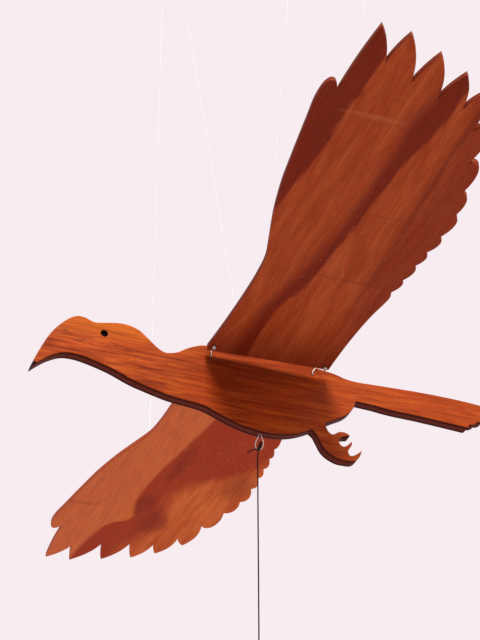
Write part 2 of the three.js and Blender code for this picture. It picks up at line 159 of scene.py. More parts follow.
class Shading:
    """A material being built: each call adds nodes and gives back the output to use."""

    BORDER_LENGTH = 400.0  # how far along a board a border can run
    BORDER_LOW, BORDER_SPAN = -100.0, 250.0  # where across the board it can lie

    def __init__(self, name, **sockets):
        self.material = bpy.data.materials.new(name)
        self.material.use_nodes = True
        self.tree = self.material.node_tree
        self.tree.nodes.clear()
        self.shader = self.node("BsdfPrincipled", {
            socket.replace("_", " "): value for socket, value in sockets.items()})
        self.node("OutputMaterial", [self.shader.outputs[0]])

    def node(self, kind, inputs=(), **settings):
        return add_node(self.tree, "ShaderNode" + kind, inputs, **settings)

    def math(self, operation, *values):
        return self.node("Math", values, operation=operation).outputs[0]

    def position(self):
        """The place on the piece in millimetres, in the bird's frame, as x, y and z."""
        place = self.node("TexCoord").outputs["Object"]
        scaled = self.node("VectorMath", {0: place, "Scale": 1000.0}, operation="SCALE")
        moved = self.node("VectorMath", [scaled.outputs[0], (BAR_X, 0, EYE_TOP_Z)], operation="ADD")
        return self.node("SeparateXYZ", [moved.outputs[0]]).outputs[:]

    def stretched(self, *parts):
        """A place to read noise at: each part is a value and the length it is measured in."""
        return self.node("CombineXYZ", [
            self.math("DIVIDE", value, float(length)) for value, length in parts]).outputs[0]

    def noise(self, vector, detail=3.0, roughness=0.55, distortion=0.0):
        return self.node("TexNoise", {
            "Vector": vector, "Scale": 1.0, "Detail": detail, "Roughness": roughness,
            "Distortion": distortion}).outputs[0]

    def fade(self, value, start, end, low=0.0, high=1.0):
        """Goes smoothly from low to high while the value goes from start to end."""
        return self.node("MapRange", {"Value": value, "From Min": start, "From Max": end,
                                      "To Min": low, "To Max": high},
                         interpolation_type="SMOOTHSTEP").outputs[0]

    def ramp(self, value, stops):
        made = self.node("ValToRGB", [value])
        elements = made.color_ramp.elements
        while len(elements) < len(stops):
            elements.new(0.5)
        for element, (place, color) in zip(elements, stops):
            element.position, element.color = place, color
        return made.outputs[0]

    def blend(self, share, first, second, way="MIX"):
        return self.node("Mix", {0: share, 6: first, 7: second},
                         data_type="RGBA", blend_type=way).outputs[2]

    def tinted(self, color, mask, amount, paint):
        """The colour with up to this amount of paint over it, where the mask is 1."""
        return self.blend(self.math("MULTIPLY", mask, amount), color, paint)

    def shaded(self, color, shade):
        """The colour made darker or lighter all through."""
        grey = self.node("CombineColor", [shade, shade, shade]).outputs[0]
        return self.blend(1.0, color, grey, "MULTIPLY")

    def border(self, along, points):
        """A line that drifts across the board as it runs along it."""
        made = self.node("FloatCurve", {"Value": self.math("DIVIDE", along, self.BORDER_LENGTH)})
        curve = made.mapping.curves[0]
        for _ in points[2:]:
            curve.points.new(0.5, 0.5)
        for point, (v, u) in zip(curve.points, points):
            point.location = (v / self.BORDER_LENGTH, (u - self.BORDER_LOW) / self.BORDER_SPAN)
        made.mapping.update()
        place = self.math("MULTIPLY", made.outputs[0], self.BORDER_SPAN)
        return self.math("ADD", place, self.BORDER_LOW)

    def strip(self, along, across, low, high, soft):
        """1 between two drifting lines, fading out at each."""
        beyond = self.math("SUBTRACT", across, self.border(along, low))
        inside = self.fade(beyond, -soft[0], soft[0])
        short = self.math("SUBTRACT", self.border(along, high), across)
        return self.math("MULTIPLY", inside, self.fade(short, -soft[1], soft[1]))

    def patch(self, along, across, centre, size):
        """1 in the middle of an oval patch, 0 outside it."""
        squares = []
        for value, middle, reach in zip((along, across), centre, size):
            offset = self.math("DIVIDE", self.math("SUBTRACT", value, float(middle)), float(reach))
            squares.append(self.math("MULTIPLY", offset, offset))
        return self.fade(self.math("ADD", *squares), 1.0, 0.0)

    def finish(self, color, roughness, height=None, depth=0.0001):
        self.tree.links.new(color, self.shader.inputs["Base Color"])
        self.tree.links.new(roughness, self.shader.inputs["Roughness"])
        if height is not None:
            bump = self.node("Bump", {"Height": height, "Strength": 0.5, "Distance": depth})
            self.tree.links.new(bump.outputs[0], self.shader.inputs["Normal"])
        return self.material


VARNISH = {"Coat_Weight": 0.03, "Coat_Roughness": 0.16, "Specular_IOR_Level": 0.03}
WORN_VARNISH = {"Coat_Weight": 0.03, "Coat_Roughness": 0.22, "Specular_IOR_Level": 0.03}


def grained(shading, grain, tones, paint=None, figure=(80, 7), streak=(0.84, 1.12), pore=0.3):
    """Varnished wood with its grain along one axis; tones go from dark to light. figure is the
    length and width of its waves, streak the shades of its streaks, pore how much pores show."""
    x, y, z = shading.position()
    along, across, deep = {"x": (x, z, y), "y": (y, x, z), "z": (z, x, y)}[grain]

    def stretched(length, width):
        return shading.stretched((along, length), (across, width), (deep, width))

    waves = shading.noise(stretched(*figure), detail=5.0, roughness=0.62, distortion=0.7)
    streaks = shading.noise(stretched(42, 1.5), detail=3.0, roughness=0.6)
    pores = shading.fade(shading.noise(stretched(4.2, 0.5), detail=1.0), 0.6, 0.74)
    color = shading.ramp(waves, [(0.36, tones[0]), (0.5, tones[1]), (0.64, tones[2])])
    if paint:
        wander = shading.math("MULTIPLY", shading.math("SUBTRACT", waves, 0.5), 9.0)
        color = paint(shading, x, y, z, wander, color)
    color = shading.shaded(color, shading.fade(streaks, 0.32, 0.68, *streak))
    color = shading.tinted(color, pores, pore, rgb(52, 14, 8))
    roughness = shading.fade(streaks, 0.3, 0.7, 0.3, 0.46)
    height = shading.math("SUBTRACT", shading.math("MULTIPLY", streaks, 0.5), pores)
    return shading.finish(color, roughness, height)


FORE_OF_WING = [(0, -90), (400, -90)]
BEHIND_WING = [(0, 140), (400, 140)]


def wing_place(shading, x, y, wander):
    """How far out along a wing a point is, and how far back, with a natural waver."""
    out = shading.math("SUBTRACT", shading.math("ABSOLUTE", y), BOARD / 2 + ROOT_SETBACK)
    return out, shading.math("ADD", x, wander)


def painted_glints(shading, out, back, color, glint_color, amount):
    """Painted glints: short pale highlights of the varnish that lie along the grain, most of them
    in the middle of the wing.
    """
    place = shading.stretched((out, 5.5), (back, 0.9), (0.0, 1))
    glints = shading.fade(shading.noise(place, detail=0.0), 0.72, 0.82)
    where = shading.patch(out, back, (145, 60), (95, 70))
    return shading.tinted(color, shading.math("MULTIPLY", glints, where), amount, glint_color)


def left_wing_figure(shading, x, y, z, wander, color):
    """Red bands along the feathers, a seam behind them, a scuff, two marks, and painted shade at
    the root.
    """
    out, back = wing_place(shading, x, y, wander)
    red = rgb(112, 31, 16)
    front = shading.strip(out, back, FORE_OF_WING, [
        (0, -70), (150, -40), (178, -13), (200, -9), (250, -5), (300, -2), (350, 0), (400, 3),
    ], (1, 2.0))
    color = shading.tinted(color, front, 0.85, red)
    middle = shading.strip(out, back, [
        (0, 19), (50, 20), (75, 22), (110, 29), (170, 38), (250, 41), (290, 40), (320, 44),
        (350, 46), (400, 48),
    ], [
        (0, 31), (60, 31), (82, 34), (92, 39), (115, 43), (170, 47), (230, 51), (252, 53),
        (290, 61), (330, 63), (400, 64),
    ], (7.0, 2.0))
    color = shading.tinted(color, middle, 0.86, red)
    rear = shading.strip(out, back, [
        (0, 90), (50, 87), (100, 84), (200, 80), (300, 77), (400, 76),
    ], BEHIND_WING, (11.0, 1))
    color = shading.tinted(color, rear, 0.5, rgb(118, 36, 20))
    seam = shading.strip(
        out, back, [(0, 84), (180, 80), (400, 74)], [(0, 84), (180, 83), (400, 78)], (1.5, 1.5))
    color = shading.tinted(color, seam, 0.35, rgb(90, 24, 16))
    scuff = shading.patch(out, back, (291, 16), (3.5, 30))
    color = shading.tinted(color, scuff, 0.3, rgb(190, 110, 78))
    for place, amount in ((118, 0.2), (194, 0.12)):
        mark = shading.patch(out, back, (place, 66), (2.2, 46))
        color = shading.tinted(color, mark, amount, rgb(96, 28, 18))
    # Painted shade where the wing meets the body: the root is darkened.
    root = shading.fade(out, 75.0, 0.0, 0.0, 0.5)
    color = shading.blend(root, color, rgb(96, 26, 12))
    # Painted shade on the upper face.
    color = shade_upper_faces(shading, x, y, z, color)
    return painted_glints(shading, out, back, color, rgb(196, 106, 68), 0.42)


def right_wing_figure(shading, x, y, z, wander, color):
    """A paler leading edge, a broad red stain with darker clouds in it, an arc near the tip."""
    out, back = wing_place(shading, x, y, wander)
    leading = shading.strip(out, back, FORE_OF_WING, [
        (0, 44), (80, 42), (150, 34), (200, 29), (400, 20)], (1, 3.0))
    color = shading.tinted(color, leading, 0.7, rgb(206, 106, 63))
    stain = shading.strip(out, back, [
        (0, 44), (80, 42), (150, 34), (200, 28), (235, 27), (252, 31), (264, 34), (276, 32),
        (286, 22), (300, 15), (350, 9), (400, 7),
    ], [
        (0, 130), (100, 118), (150, 104), (175, 82), (200, 62), (225, 53), (250, 57), (275, 62),
        (300, 53), (350, 45), (400, 44),
    ], (2.2, 12.0))
    color = shading.tinted(color, stain, 0.88, rgb(158, 46, 18))
    for centre, size, amount in (((244, 36), (26, 10), 0.5), ((274, 52), (30, 16), 0.4),
                                 ((165, 42), (50, 8), 0.4), ((185, 98), (34, 16), 0.45)):
        mark = shading.patch(out, back, centre, size)
        color = shading.tinted(color, mark, amount, rgb(118, 36, 22))
    arc = shading.strip(
        back, out, [(-60, 262), (-20, 258), (0, 254), (25, 246), (40, 240)],
        [(-60, 264), (-20, 262), (0, 258), (25, 250), (40, 244)], (2.5, 2.5))
    fore = shading.fade(back, 30.0, 22.0, 0.0, 0.3)
    color = shading.tinted(color, arc, fore, rgb(140, 56, 34))
    # Painted shade on the upper face.
    color = shade_upper_faces(shading, x, y, z, color)
    return painted_glints(shading, out, back, color, rgb(216, 130, 78), 0.45)


def body_figure(shading, x, y, z, wander, color):
    """A painted highlight on the top of the head, a warmer rear, a belly darker with its wood and
    with painted shade, curls in the head's grain, a burnt beak.
    """
    # Painted highlight: the top of the head and neck is tinted lighter and more golden.
    crown = shading.fade(shading.math("ADD", z, wander), -6.0, 13.0)
    color = shading.tinted(color, crown, shading.fade(x, 10.0, -40.0, 0.0, 0.75), rgb(154, 74, 17))
    warm = shading.fade(shading.math("ADD", x, wander), 60.0, 125.0)
    color = shading.tinted(color, warm, 0.45, rgb(130, 52, 22))
    # Darker belly: partly redder wood, partly painted shade of the near wing falling over the
    # middle of the body.
    belly = shading.patch(x, z, (45, -18), (75, 46))
    color = shading.tinted(color, belly, 0.55, rgb(116, 36, 13))
    height = shading.math("ADD", z, shading.math("MULTIPLY", wander, 0.3))
    for centre, size in (
            ((-106.5, 1), (3.2, 1.1)), ((-96.5, -6), (4.6, 1.2)), ((-92.5, -4.6), (2.4, 0.8))):
        curl = shading.patch(x, height, centre, size)
        color = shading.tinted(color, curl, 0.7, rgb(84, 30, 16))
    tip = shading.patch(x, z, (-131.5, -36.5), (9.5, 9.5))
    return shading.blend(shading.fade(tip, 0.2, 0.5), color, rgb(26, 10, 8))


def shade_upper_faces(shading, x, y, z, color):
    """The upper faces of the wings are painted darker: painted shade that tones down the light
    falling on them.
    """
    upper_shade = shading.fade(wing_middle(shading, x, y, z), 1.2, 2.2, 0.0, 0.55)
    return shading.blend(upper_shade, color, rgb(78, 22, 8))


def layered_edge(name, middle, half, layers, shaded_bore=None):
    """The sawn edge of a board glued up from three layers. middle() gives the distance from
    its middle and half is half its thickness; layers are the colours of the core and of the
    outsides. The wall of the hole round the given place is painted near black: painted shade deep
    in the bore."""
    shading = Shading(name, Coat_Weight=0.0, Specular_IOR_Level=0.04)
    x, y, z = shading.position()
    height = shading.math("ABSOLUTE", middle(shading, x, y, z))
    rough_cut = shading.noise(
        shading.stretched((x, 3), (z, 3), (y, 0.6)), detail=4.0, roughness=0.65)
    outer = shading.fade(shading.math("ADD", height, shading.math("MULTIPLY", rough_cut, 0.4)),
                         half * 0.42, half * 0.58)
    color = shading.blend(outer, layers[0], layers[1])
    color = shading.shaded(color, shading.fade(rough_cut, 0.3, 0.7, 0.72, 1.2))
    if shaded_bore:
        # Painted shade: the wall of the eye's bore is made near black.
        hole = shading.fade(shading.patch(x, z, shaded_bore, (6, 6)), 0.0, 0.2)
        color = shading.blend(hole, color, rgb(20, 8, 6))
    return shading.finish(color, shading.fade(rough_cut, 0.3, 0.7, 0.42, 0.6), rough_cut, 0.00015)


def board_middle(shading, x, y, z):
    return y


def wing_middle(shading, x, y, z):
    rise = shading.math("MULTIPLY", shading.math("ABSOLUTE", y), math.tan(WING_RISE))
    root = WING_ROOT_Z + WING_BOARD / 2 - (BOARD / 2 + ROOT_SETBACK) * math.tan(WING_RISE)
    return shading.math("SUBTRACT", shading.math("SUBTRACT", z, rise), root)


face_wood = grained(
    Shading("face_wood", **VARNISH), "x",
    [rgb(106, 36, 11), rgb(134, 52, 15), rgb(150, 67, 20)],
    body_figure, figure=(38, 4.2), streak=(0.78, 1.12))
left_wing_wood = grained(
    Shading("left_wing_wood", **WORN_VARNISH), "y",
    [rgb(156, 63, 29), rgb(166, 72, 35), rgb(176, 83, 43)],
    left_wing_figure, figure=(70, 9), streak=(0.9, 1.08), pore=0.36)
# Painted light: the right wing's wood has paler tones than the left wing's, standing in for the
# brighter light on the far wing.
right_wing_wood_painted_paler = grained(
    Shading("right_wing_wood_painted_paler", **WORN_VARNISH), "y",
    [rgb(192, 86, 35), rgb(208, 102, 45), rgb(219, 116, 54)],
    right_wing_figure, figure=(80, 10), streak=(0.89, 1.09))
edge_wood = layered_edge(
    "edge_wood", board_middle, BOARD / 2, [rgb(98, 40, 30), rgb(50, 12, 8)], BIRD_EYE)
left_wing_edge = layered_edge(
    "left_wing_edge", wing_middle, WING_BOARD / 2, [rgb(118, 48, 26), rgb(78, 24, 13)])
# Painted light: this edge is paler than the left wing's edge, for the same brighter light.
right_wing_edge_painted_paler = layered_edge(
    "right_wing_edge_painted_paler", wing_middle, WING_BOARD / 2, [rgb(166, 76, 42), rgb(132, 52, 28)])
bar_wood = grained(
    Shading("bar_wood", **VARNISH), "y",
    [rgb(150, 84, 46), rgb(172, 104, 60), rgb(190, 124, 76)], figure=(70, 3.5), pore=0.4)
bead_wood = grained(
    Shading("bead_wood", **VARNISH), "z",
    [rgb(120, 48, 24), rgb(148, 64, 32), rgb(170, 84, 44)], figure=(22, 3.0))


def clear_nylon(name, clearness, cover, tints):
    shading = Shading(name, IOR=1.53, Transmission_Weight=clearness, Specular_IOR_Level=0.5,
                      Alpha=cover)
    x, y, z = shading.position()
    cloud = shading.noise(shading.stretched((x, 1), (y, 1), (z, 4)), detail=2.0)
    color = shading.ramp(cloud, [(0.35, tints[0]), (0.65, tints[1])])
    return shading.finish(color, shading.fade(cloud, 0.3, 0.7, 0.06, 0.2), cloud, 0.00003)


def dark_thread():
    shading = Shading("dark_thread", Specular_IOR_Level=0.2)
    x, y, z = shading.position()
    fibre = shading.noise(
        shading.stretched((x, 1 / 7), (y, 1 / 7), (z, 0.625)), detail=4.0, roughness=0.7)
    color = shading.ramp(fibre, [
        (0.3, rgb(18, 9, 10)), (0.55, rgb(40, 22, 22)), (0.75, rgb(74, 46, 44))])
    return shading.finish(color, shading.fade(fibre, 0.3, 0.7, 0.7, 0.95), fibre, 0.00008)


def brass_wire():
    shading = Shading("brass_wire", Metallic=1.0)
    x, y, z = shading.position()
    tarnish = shading.noise(shading.stretched((x, 1), (y, 1), (z, 3)), detail=5.0, roughness=0.7)
    color = shading.ramp(tarnish, [(0.3, rgb(150, 112, 56)), (0.6, rgb(206, 170, 96))])
    return shading.finish(color, shading.fade(tarnish, 0.3, 0.7, 0.22, 0.42), tarnish, 0.00004)


def pale_floor():
    shading = Shading("pale_floor", Specular_IOR_Level=0.2)
    x, y, _ = shading.position()
    cloud = shading.noise(shading.stretched((x, 90), (y, 90), (0.0, 1)), detail=4.0)
    color = shading.ramp(cloud, [(0.3, rgb(196, 188, 186)), (0.7, rgb(206, 199, 197))])
    return shading.finish(color, shading.fade(cloud, 0.3, 0.7, 0.75, 0.9))


nylon = clear_nylon("clear_nylon", 0.4, 1.0, [rgb(206, 192, 186), rgb(238, 230, 226)])
fine_nylon = clear_nylon("fine_nylon", 0.25, 0.45, [rgb(196, 186, 188), rgb(212, 203, 205)])
thread = dark_thread()
brass = brass_wire()


# ---------------------------------------------------------------- lines and cords

def line_object(name, points, radius, material, closed=False):
    """A round line through the points, as a curve of one spline."""
    curve = bpy.data.curves.new(name, "CURVE")
    curve.dimensions = "3D"
    curve.bevel_depth = radius / 1000
    curve.bevel_resolution = 4
    curve.use_fill_caps = True
    spline = curve.splines.new("POLY")
    spline.points.add(len(points) - 1)
    for point, place in zip(spline.points, points):
        point.co = (*metres(*place), 1)
    spline.use_smooth = True
    spline.use_cyclic_u = closed
    curve.materials.append(material)
    return add_object(name, curve)


def catmull(points, per_span, closed=False):
    """A smooth run through the points."""
    count = len(points)

    def at(i):
        return points[i % count if closed else min(max(i, 0), count - 1)]

    run = []
    for i in range(count if closed else count - 1):
        a, b, c, d = (at(i + k) for k in (-1, 0, 1, 2))
        for step in range(per_span):
            t = step / per_span
            run.append(
                0.5 * (2 * b + (c - a) * t + (2 * a - 5 * b + 4 * c - d) * t * t
                       + (3 * b - a - 3 * c + d) * t ** 3)
            )
    if not closed:
        run.append(points[-1].copy())
    return run


def wound_strand_tree(steps_per_turn=14.0, sides=8):
    """Strands wound round a path: the plies of a thread, or the turns of a knot."""
    tree = bpy.data.node_groups.new("wound_strand", "GeometryNodeTree")
    socket = tree.interface.new_socket
    socket("Path", in_out="INPUT", socket_type="NodeSocketGeometry")
    socket("Plies", in_out="INPUT", socket_type="NodeSocketInt")
    for name in ("Pitch", "Winding Radius", "Strand Radius", "Swell"):
        socket(name, in_out="INPUT", socket_type="NodeSocketFloat")
    socket("Finish", in_out="INPUT", socket_type="NodeSocketMaterial")
    socket("Strand", in_out="OUTPUT", socket_type="NodeSocketGeometry")

    def node(kind, inputs=(), **settings):
        return add_node(tree, kind, inputs, **settings)

    def maths(operation, *values):
        return node("ShaderNodeMath", values, operation=operation).outputs[0]

    given = node("NodeGroupInput").outputs
    path = node("GeometryNodeMeshToCurve", [given["Path"]]).outputs[0]
    even = node("GeometryNodeResampleCurve", {
        "Curve": path, "Length": maths("DIVIDE", given["Pitch"], steps_per_turn)}, mode="LENGTH")
    plies = node("GeometryNodeDuplicateElements", {
        "Geometry": even.outputs[0], "Amount": given["Plies"]}, domain="SPLINE").outputs
    spline = node("GeometryNodeSplineParameter").outputs
    share = maths("DIVIDE", plies["Duplicate Index"], given["Plies"])
    turns = maths("ADD", maths("DIVIDE", spline["Length"], given["Pitch"]), share)
    angle = maths("MULTIPLY", turns, 2 * math.pi)
    arch = maths("SINE", maths("MULTIPLY", spline["Factor"], math.pi))
    crown = maths("MULTIPLY", given["Swell"], maths("SQRT", maths("MAXIMUM", arch, 0.0)))
    swell = maths("ADD", maths("SUBTRACT", 1.0, given["Swell"]), crown)
    reach = maths("MULTIPLY", given["Winding Radius"], swell)
    normal = node("GeometryNodeInputNormal").outputs[0]
    tangent = node("GeometryNodeInputTangent").outputs[0]
    across = node("ShaderNodeVectorMath", [tangent, normal], operation="CROSS_PRODUCT").outputs[0]
    parts = []
    for axis, turn in ((normal, "COSINE"), (across, "SINE")):
        length = maths("MULTIPLY", reach, maths(turn, angle))
        parts.append(node(
            "ShaderNodeVectorMath", {0: axis, "Scale": length}, operation="SCALE").outputs[0])
    offset = node("ShaderNodeVectorMath", parts, operation="ADD").outputs[0]
    strands = node("GeometryNodeSetPosition", {"Geometry": plies["Geometry"], "Offset": offset})
    section = node("GeometryNodeCurvePrimitiveCircle", {
        "Resolution": sides, "Radius": given["Strand Radius"]})
    tube = node("GeometryNodeCurveToMesh", {
        "Curve": strands.outputs[0], "Profile Curve": section.outputs[0], "Fill Caps": True})
    smooth = node("GeometryNodeSetShadeSmooth", [tube.outputs[0]])
    real = node("GeometryNodeRealizeInstances", [smooth.outputs[0]])
    coloured = node("GeometryNodeSetMaterial", {
        "Geometry": real.outputs[0], "Material": given["Finish"]})
    node("NodeGroupOutput", [coloured.outputs[0]])
    return tree


wound_strand = wound_strand_tree()


def wound(name, path, plies, pitch, winding, strand, swell, material):
    """A piece of strands wound round a path: how many there are, how long one turn is, how far
    from the path they lie, how thick they are, and how much they draw in toward its ends."""
    start = bpy.data.meshes.new(f"{name}_path")
    start.from_pydata(
        [tuple(metres(*p)) for p in path], [(i, i + 1) for i in range(len(path) - 1)], [])
    piece = add_object(name, start)
    modifier = piece.modifiers.new("wound", "NODES")
    modifier.node_group = wound_strand
    sizes = {"Plies": plies, "Pitch": pitch / 1000, "Winding Radius": winding / 1000,
             "Strand Radius": strand / 1000, "Swell": swell, "Finish": material}
    for item in wound_strand.interface.items_tree:
        if item.in_out == "INPUT" and item.name in sizes:
            modifier[item.identifier] = sizes[item.name]
    graph = bpy.context.evaluated_depsgraph_get()
    result = bpy.data.meshes.new_from_object(piece.evaluated_get(graph), depsgraph=graph)
    piece.modifiers.clear()
    piece.data = result
    bpy.data.meshes.remove(start)
    result.name = name
    return piece


def knot(name, start, end, radius, turns, strand, material, steps=12):
    """A barrel knot between two points."""
    reach = end - start
    inset = reach.normalized() * strand
    path = [(start + inset).lerp(end - inset, i / steps) for i in range(steps + 1)]
    pitch = (reach.length - 2 * strand) / turns
    return wound(name, path, 1, pitch, radius - strand, strand, swell=0.75, material=material)


def round_knot(name, centre, axis, radius, turns, strand):
    """A small knot of clear line, as long as it is thick."""
    return knot(name, centre - axis * radius, centre + axis * radius, radius, turns, strand, nylon)


def dress(piece, nodes, body):
    """Puts a piece in the place of its nodes, which it hides, and on their body."""
    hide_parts(*nodes)
    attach(piece, body)


for hand, side in SIDES.items():
    apex = Vector((BAR_X, side * APEX_Y, APEX_Z))
    sling = f"sling_{hand[0]}"
    for end, u in HANG_U.items():
        seat = on_wing(side, u, HANG_V, LINE_KNOT_RISE)
        along = (apex - seat).normalized()
        low = seat + along * LINE_END_IN_SEAT
        spread = Vector((math.copysign(APEX_SPREAD, u - BAR_X), 0, 0))
        high = apex - along * LINE_END_IN_APEX + spread
        points = [low.lerp(high, i / 16) for i in range(17)]
        piece = line_object(f"clear_line_{hand}_{end}", points, LINE_R, fine_nylon)
        seat_knot = round_knot(f"seat_knot_{hand}_{end}", seat, along, SEAT_KNOT_R,
                               turns=4, strand=0.26)
        dress(piece, [f"line_{hand}_{end}"], sling)
        dress(seat_knot, [f"line_knot_{hand}_{end}"], sling)
        metres(*points[0])
        metres(*points[-1])
    loop_r = BAR_R + BAR_LOOP_GAP + LINE_R
    around = [Vector((BAR_X + loop_r * math.cos(a), side * APEX_Y, BAR_Z + loop_r * math.sin(a)))
              for a in map(math.radians, (-55, -20, 15, 50, 90, 130, 165, 200, 235))]
    around.append(apex + UP * (BAR_LOOP_FOOT + LINE_R))
    loop = line_object(f"clear_bar_loop_{hand}", catmull(around, 8, True), LINE_R, fine_nylon,
                       closed=True)
    dress(loop, [f"bar_loop_{hand}"], sling)
    meeting = round_knot(f"meeting_knot_{hand}", apex, UP, APEX_KNOT_R, turns=5, strand=0.25)
    dress(meeting, [f"apex_knot_{hand}"], sling)

cord_route = catmull([
    Vector((CORD_X + lean, 0, z)) for lean, z in (
        (0.1, -68), (-0.15, -72.3), (-0.25, -81.3), (-0.2, -109.3), (-0.1, -159.3), (0, -233))
], 5)
cord_points = [metres(*p) for p in cord_route]
pull_cord = wound("dark_pull_cord", cord_route, PLIES, PLY_PITCH, winding=0.25, strand=0.3,
                  swell=0.0, material=thread)

# ---------------------------------------------------------------- outlines of the boards

BEAK_TIP = (-130.3, -35)
TAIL_NOTCH = (121.3, -13.2)
TAIL_CORNER = (211.2, -18.2)
BACK = [
    (-129.1, -30.2), (-124.3, -18.3), (-118, -5.3), (-111.5, 4), (-103.9, 11.7), (-97.4, 15.3),
    (-91.4, 15.1), (-84, 12.7), (-75.1, 14.2), (-65.7, 15.9), (-57.5, 15.6), (-50.3, 13.2),
    (-44.3, 8.5), (-38.2, 3.1), (-32.6, -0.9), (-27.4, -1.8), (-20.3, 0.3), (-13.3, 4.9),
    (-6.2, 8.5), (1, 10.8), (20, 11.8), (50, 11.4), (80, 10.4), (102.9, 7.6), (113.5, 4.7),
    (124.3, 3.9), (143.9, 4.6), (174.1, 5.4), (205, 5.1), (235.6, 3),
]
TAIL_STEPS = [(233.4, -3.4), (227.6, -7.7), (221.1, -11.7), (213.9, -15.3)]
TAIL_LOBE = 1.1
UNDER_TAIL = [(197.1, -17.3), (173.2, -16), (151.6, -15.4), (137, -14)]
VENT = [(118.4, -20.8), (112.8, -27), (103.4, -32.6), (95.9, -37.2)]
LEG = [
    [(96.3, -39.2), (98.2, -43.4), (101, -45.6), (103.8, -44.9)],
    [(106.4, -42.8), (109.6, -42.1), (113, -42.4), (115.6, -44.4)],
    [(111, -45.6), (107.6, -47.8), (106.6, -50.6), (108, -53.4), (110.6, -54.4), (113.6, -52.6),
     (117, -48.7)],
    [(116.9, -52), (115, -55.2), (113.9, -58), (114.6, -60.4), (116.6, -61.2), (120.4, -59.2),
     (124.8, -55)],
    [(123.6, -59.4), (121, -63.4), (118, -65.6), (113, -66.1), (106.6, -65.8), (99.6, -63),
     (94.4, -58.6), (90.6, -51.6), (88.2, -47.2), (85, -44.6)],
]
BELLY = [
    (76, -49.2), (65.5, -52.7), (53, -54.1), (41, -53.8), (27, -50.9), (13.5, -46), (3, -41.8),
    (-6, -40.2), (-16.5, -39.2), (-26, -38), (-40, -34.7), (-55, -30.4), (-70.5, -24),
    (-85.6, -19.7), (-97, -17.7), (-107, -18.4), (-116, -22.9), (-123, -28.2), BEAK_TIP,
]

WING_FRONT = [
    (0.6, 12), (2.1, 34), (3.3, 60), (3.9, 84), (3.8, 104), (2.4, 124), (-2.5, 144), (-10.5, 175),
    (-16.3, 205), (-19.3, 228), (-22.1, 252), (-24.8, 276), (-26.8, 294), (-26.4, 308),
    (-24, 314.4), (-21, 315), (-18.2, 311.6), (-16.2, 307.3),
]
PRIMARIES = [
    ((-12.6, 373.2), (2.4, 342.8), 2.0), ((8.2, 371.6), (25.5, 329.3), 3.0),
    ((33.3, 360.3), (47.9, 321), 3.0), ((56.6, 348.1), (67.3, 315.2), 2.6),
    ((73.6, 332.4), (82.9, 297.5), 3.4), ((90.4, 308.6), (93.6, 265.4), 4.2),
]
FRONT_BOW = 1.0
FIRST_LOBE = [(94.6, 267.6), (98, 268.7), (102, 265.9), (104.5, 258), (104.8, 247), (103.2, 236.2)]
LOBES = [
    ((108.6, 211.5), 4.9), ((108.6, 185.7), 4.7), ((106.5, 165.9), 4.2), ((105.3, 149.1), 3.6),
    ((103.8, 130.3), 3.4), ((102, 114.9), 2.8),
]
WING_REAR = [
    (103.6, 108.8), (102.7, 100), (100.3, 86), (98.2, 68), (96.7, 46), (96, 24), (95.8, 7.8),
]
ROOT_FRONT = (0.2, 6.8)
ROOT_CORNER = (2.2, 4.4)


class Outline:
    """A closed outline drawn stroke by stroke, each stroke starting where the last ended."""

    def __init__(self, start):
        self.points = [Vector(start)]

    def smooth(self, stroke, per_span=5):
        run = catmull([self.points[-1], *map(Vector, stroke)], per_span)
        self.points += run[1:]

    def line(self, to):
        self.points.append(Vector(to))

    def bezier(self, controls, steps=12):
        row = [self.points[-1], *controls]
        for step in range(1, steps + 1):
            t = step / steps
            level = list(row)
            while len(level) > 1:
                level = [a.lerp(b, t) for a, b in zip(level, level[1:])]
            self.points.append(level[0])

    def bow(self, to, bow, share=0.5):
        start, to = self.points[-1], Vector(to)
        run = to - start
        left = Vector((-run.y, run.x)) * (2 * bow / run.length)
        self.bezier([start + run * share + left, to])

    def lobe(self, to, bow):
        start, to = self.points[-1], Vector(to)
        run = to - start
        left = Vector((-run.y, run.x)) * (bow / run.length)
        self.bezier([start + run * 0.12 + left * 1.5, start + run * 0.62 + left * 1.1, to], 16)


def body_outline():
    outline = Outline(BEAK_TIP)
    outline.smooth(BACK)
    for step in (*TAIL_STEPS, TAIL_CORNER):
        outline.bow(step, TAIL_LOBE)
    outline.smooth(UNDER_TAIL)
    outline.line(TAIL_NOTCH)
    for stroke in (VENT, *LEG, BELLY):
        outline.smooth(stroke)
    return outline.points[:-1]


def wing_outline():
    outline = Outline(ROOT_CORNER)
    outline.bezier([Vector((ROOT_FRONT[0], ROOT_CORNER[1])), Vector(ROOT_FRONT)], 6)
    outline.smooth(WING_FRONT)
    for tip, notch, bow in PRIMARIES:
        outline.bow(tip, FRONT_BOW)
        outline.bow(notch, bow, 0.45)
    outline.smooth(FIRST_LOBE)
    for notch, bow in LOBES:
        outline.lobe(notch, bow)
    outline.smooth(WING_REAR)
    return outline.points


def thinned(points, least=0.12):
    """The outline without points that lie on top of each other."""
    kept = [points[0]]
    for point in points[1:]:
        if (point - kept[-1]).length > least:
            kept.append(point)
    if (kept[0] - kept[-1]).length <= least:
        kept.pop()
    return kept


MITRE_LIMIT = 0.35  # the least cosine that a mitred corner is drawn with
WIDE = 30.0  # a board is nowhere narrow where it is wider than this
NARROW_SHARE = 0.38  # how much of a narrow width the rounding on each side may take
ROUNDING_SLOPE = 0.35  # how fast the rounding may change along the outline
ROUNDING_STEPS = 3


def side_normals(points):
    """The inward direction at each point of an outline, long at a sharp corner."""
    area = sum(a.x * b.y - b.x * a.y for a, b in zip(points, points[1:] + points[:1]))
    turn = 1 if area > 0 else -1
    normals = []
    for i, here in enumerate(points):
        a = (here - points[i - 1]).normalized()
        b = (points[(i + 1) % len(points)] - here).normalized()
        normal_a, normal_b = Vector((-a.y, a.x)) * turn, Vector((-b.y, b.x)) * turn
        mitre = normal_a + normal_b
        mitre = mitre.normalized() if mitre.length > 1e-6 else normal_a
        normals.append(mitre / max(mitre.dot(normal_a), MITRE_LIMIT))
    return normals


